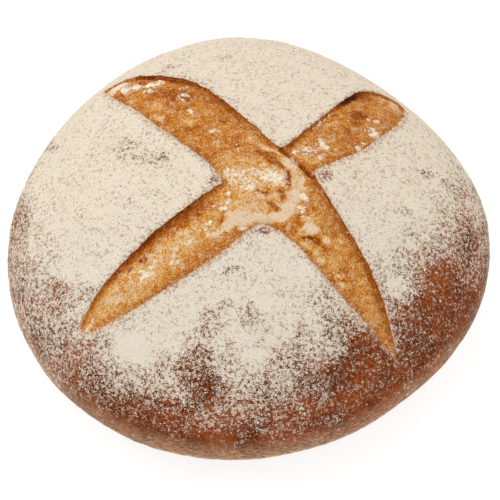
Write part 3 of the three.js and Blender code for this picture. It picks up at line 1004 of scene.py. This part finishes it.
def crust_material():
    n = Nodes("floured_crust")
    where = n.object_place()
    crumb, pale, shade, toast_and_shade, dust, flour, film_and_sheen, edge = (n.mark(name) for name in MARKS)

    # Browned crust, speckled, and paler round the rim under a film of flour and painted sheen
    broad = n.noise(where, CRUST_CLOUD_SCALE, 4)
    fine = n.noise(where, CRUST_FLECK_SCALE, 4, 0.75)
    brown = n.blend(n.steps(broad, 0.35, 0.65), CRUST_DEEP, CRUST_LIGHT)
    brown = n.blend(n.steps(fine, 0.5, 0.68, 0, 0.8), brown, CRUST_FLECK)
    brown = n.blend(n.steps(fine, 0.46, 0.36, 0, 0.6), brown, CRUST_PIT)
    streaks = n.steps(n.noise(where, FILM_STREAK_SCALE, 4, 0.75, stretch=(1, 1, 3)), 0.4, 0.62, 0.15, 0.9)
    brown = n.blend(n.math("MULTIPLY", film_and_sheen, streaks), brown, RIM_FILM_AND_SHEEN)
    brown = n.blend(n.math("MULTIPLY", edge, 0.85), brown, TORN_EDGE)

    # Flour in grains and clumps, where the noise and the flour mark add up to enough
    grain = n.steps(n.noise(where, FLOUR_GRAIN_SCALE, 2, 0.6), 0.3, 0.7)
    clump = n.steps(n.noise(where, FLOUR_CLUMP_SCALE, 3, 0.6), 0.3, 0.7)
    spread = n.math("MULTIPLY_ADD", clump, 0.5, n.math("MULTIPLY", grain, 0.5))
    mask = n.steps(n.math("ADD", spread, flour), 0.88, 1.2)
    mask = n.math("MAXIMUM", mask, n.steps(flour, 0.6, 0.88, 0, 0.45))
    powder = n.noise(where, FLOUR_POWDER_SCALE, 4, 0.8)
    drift = n.steps(n.noise(where, FLOUR_DRIFT_SCALE, 3, 0.6), 0.4, 0.6)
    ahead = n.add("ShaderNodeSeparateXYZ", {"Vector": where}).outputs["Y"]
    tint = n.blend(drift, FLOUR_WARM, FLOUR_PLAIN)
    # Flour towards the front is tinted greyer and a little darker: painted shade
    tint = n.blend(n.steps(ahead, 0.01, -0.05, 0, 0.7), tint, FLOUR_FRONT_SHADE)
    tint = n.blend(n.steps(powder, 0.5, 0.66), tint, FLOUR_BRIGHT)
    tint = n.blend(n.steps(powder, 0.5, 0.34), tint, FLOUR_DULL)
    tint = n.blend(n.math("MULTIPLY", film_and_sheen, 0.2), tint, FLOUR_FILM)
    tint = n.blend(n.steps(flour, 0.86, 0.4, 0, 0.45), tint, FLOUR_THIN)
    crust = n.blend(mask, brown, tint)

    # Crumb skin: from toasted brown through gold to cream, grained at several sizes; toasting and painted
    # shade push it towards the brown end
    speck = n.noise(where, CRUMB_SPECK_SCALE, 3, 0.75)
    spots = n.noise(where, CRUMB_SPOT_SCALE, 4, 0.7, distortion=0.4)
    cloud = n.noise(where, CRUMB_CLOUD_SCALE, 4, 0.65, distortion=0.4)
    patch = n.noise(where, CRUMB_PATCH_SCALE, 3, 0.6)
    grained = n.total(-1.11, (speck, 1.5), (spots, 0.95), (cloud, 0.45), (patch, 0.3))
    light = n.total(grained, (pale, 0.36), (toast_and_shade, -0.45), (shade, -0.5))
    gold = n.ramp(light, CRUMB_COLOURS)
    veils = n.noise(where, CRUMB_VEIL_SCALE, 3, 0.7)
    veil = n.total(-0.25, (veils, 1.0), (cloud, 0.5), (shade, -0.2), (toast_and_shade, -0.1))
    gold = n.blend(n.steps(veil, 0.5, 0.68, 0, 0.75), gold, CRUMB_VEIL)
    skin = n.total(-1.26, (pale, 1.0), (cloud, 1.4), (spots, 1.2))
    cream = n.blend(n.steps(speck, 0.4, 0.6), SKIN_DULL, SKIN_PALE)
    gold = n.blend(n.steps(skin, 0.4, 1.1, 0, 0.85), gold, cream)
    fleck = n.steps(n.math("ADD", spread, dust), 0.85, 1.3)
    gold = n.blend(fleck, gold, CRUMB_FLOUR)

    height = n.total(0.0, (mask, 0.5), (spots, 0.9), (powder, 0.6), (speck, 0.5))
    bump = n.add("ShaderNodeBump", {"Height": height, "Strength": BUMP_STRENGTH, "Distance": BUMP_DEPTH})
    rough = n.steps(mask, 0, 1, CRUST_ROUGHNESS, FLOUR_ROUGHNESS)
    return n.finished({
        "Base Color": n.blend(crumb, crust, gold), "Roughness": rough,
        "Normal": bump.outputs[0], "Specular IOR Level": CRUST_SHINE,
    })


def grain_material():
    n = Nodes("flour_grain")
    tint = n.blend(n.steps(n.noise(n.object_place(), GRAIN_TINT_SCALE, 2), 0.3, 0.7), GRAIN_DULL, GRAIN_PALE)
    return n.finished({"Base Color": tint, "Roughness": FLOUR_ROUGHNESS, "Specular IOR Level": DRY_SHINE})


def floor_material():
    return Nodes("pale_floor").finished({
        "Base Color": FLOOR_COLOUR, "Roughness": 0.9, "Specular IOR Level": DRY_SHINE,
        "Emission Color": WHITE, "Emission Strength": FLOOR_GLOW,
    })


# Loaf

form = build_loaf()
loaf = mesh_object("floured_loaf", *form)
loaf.data.materials.append(crust_material())
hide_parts("loaf")
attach(loaf, "root")

grains = mesh_object("flour_grains", *flour_grains(*form))
grains.data.materials.append(grain_material())
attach(grains, "root")

# Floor, light and camera

def stood(made, place, ahead):
    """Stands a light or camera at a place, in metres, looking along a direction."""
    made.location = place
    made.rotation_euler = ahead.to_track_quat("-Z", "Y").to_euler()


floor_mesh = bpy.data.meshes.new("floor")
corners = [(x * FLOOR_HALF, y * FLOOR_HALF, 0) for x, y in ((-1, -1), (1, -1), (1, 1), (-1, 1))]
floor_mesh.from_pydata(corners, [], [(0, 1, 2, 3)])
floor_mesh.materials.append(floor_material())
added("floor", floor_mesh)

world = bpy.data.worlds.new("studio")
bpy.context.scene.world = world
world.use_nodes = True
background = world.node_tree.nodes["Background"].inputs
background["Color"].default_value = WHITE
background["Strength"].default_value = SKY_STRENGTH

softbox = bpy.data.lights.new("top_softbox", "AREA")
softbox.shape = "DISK"
softbox.size = SOFTBOX_SIZE
softbox.energy = SOFTBOX_POWER
stood(added("top_softbox", softbox), SOFTBOX_PLACE, -SOFTBOX_PLACE)

camera = added("camera", bpy.data.cameras.new("camera"))
camera.data.lens = camera.data.sensor_width * FOCAL_PIXELS / PICTURE_PIXELS
stand = Vector((0, -CAMERA_DISTANCE * cos(CAMERA_ELEVATION), CAMERA_DISTANCE * sin(CAMERA_ELEVATION)))
stood(camera, (stand - Vector(MIDDLE)) * MM, AIM - stand)
bpy.context.scene.camera = camera
bpy.context.scene.view_settings.view_transform = "Standard"
